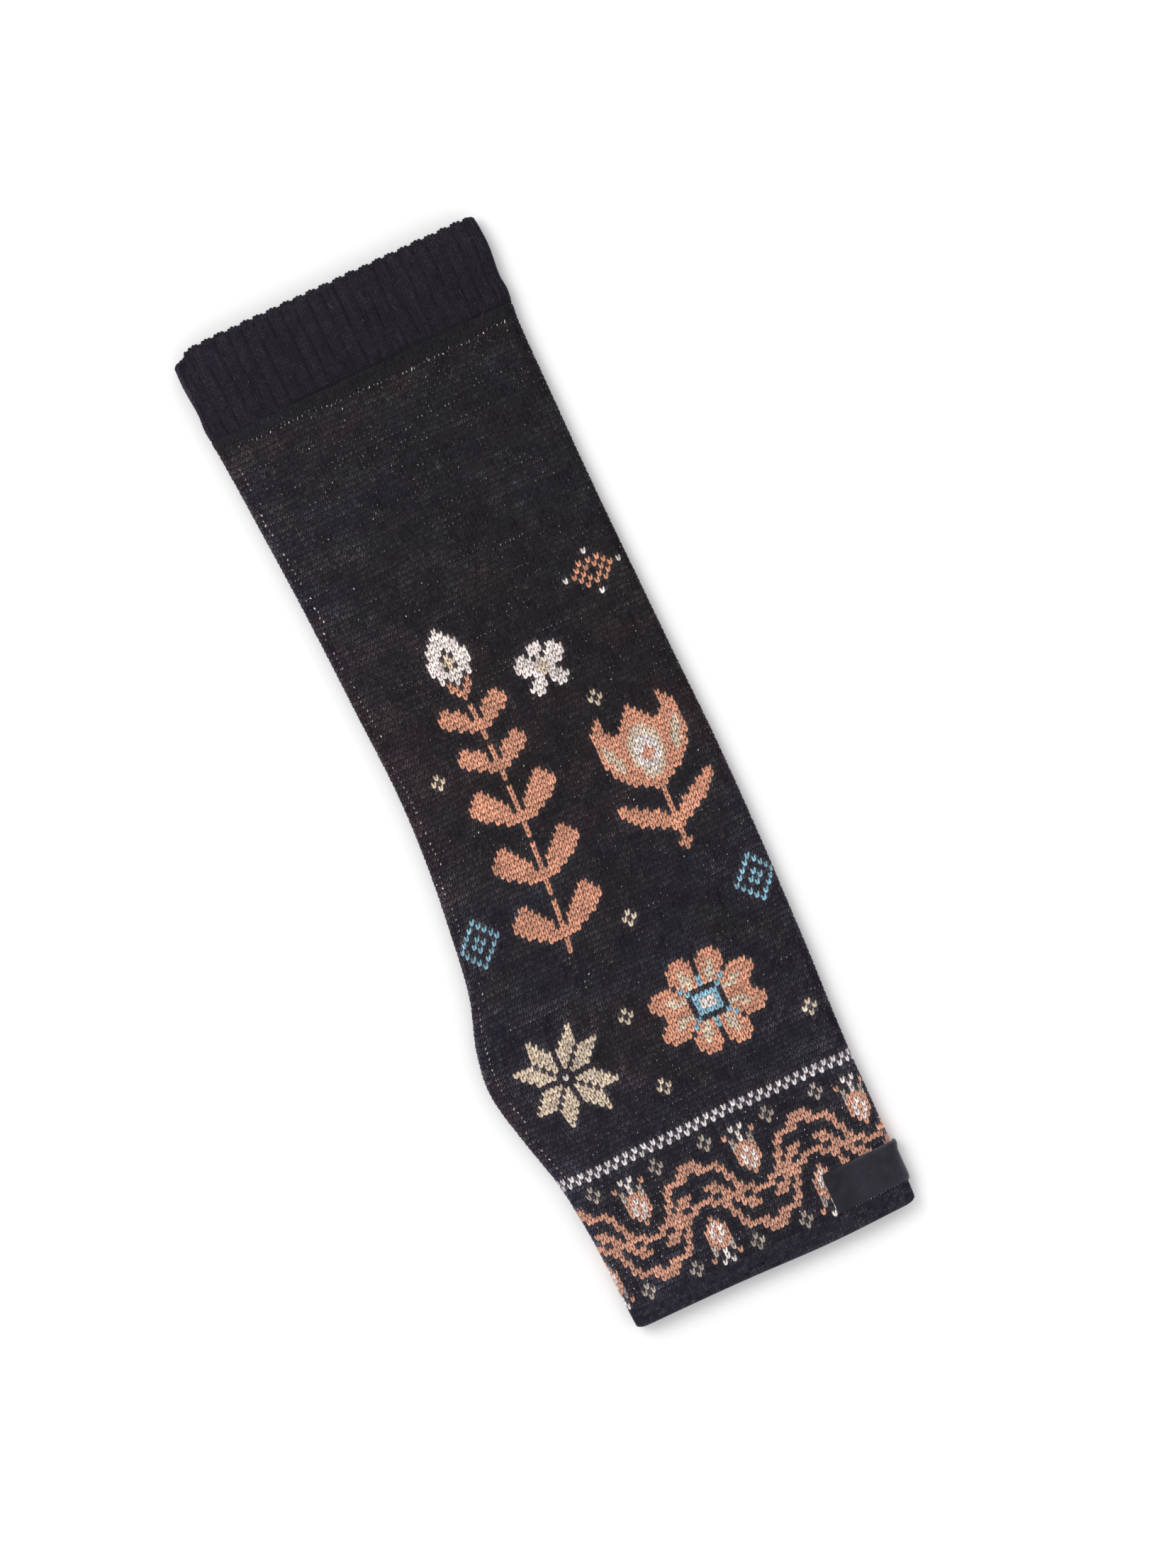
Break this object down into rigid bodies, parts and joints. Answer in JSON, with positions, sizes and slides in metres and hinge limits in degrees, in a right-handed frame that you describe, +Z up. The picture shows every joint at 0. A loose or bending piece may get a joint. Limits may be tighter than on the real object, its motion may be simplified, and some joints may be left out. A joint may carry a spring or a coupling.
{
  "type": "fingerless mitt",
  "caption": "Long knitted fingerless mitt, a flat-lying open tube with a ribbed cuff, a patterned body, a plain hem and a blank side label.",
  "frame": {"origin": "on the surface under the mitt, in the middle of its box", "axes": "+Y along the tube towards the ribbed cuff at the arm end, +X across it towards the side that carries the label, +Z up from the surface that it lies on"},
  "size_m": [0.1132, 0.34, 0.0101],
  "materials": {
    "rib_knit": "matte black-navy wool, ribbed",
    "jacquard_knit": "matte heathered charcoal wool with coloured jacquard stitches",
    "hem_knit": "matte black-navy wool, plain knit",
    "label_satin": "black woven satin with a soft sheen"
  },
  "bodies": {
    "root": {"rib_cuff": "rib_knit", "body": "jacquard_knit", "hem": "hem_knit", "label": "label_satin"}
  },
  "joints": []
}
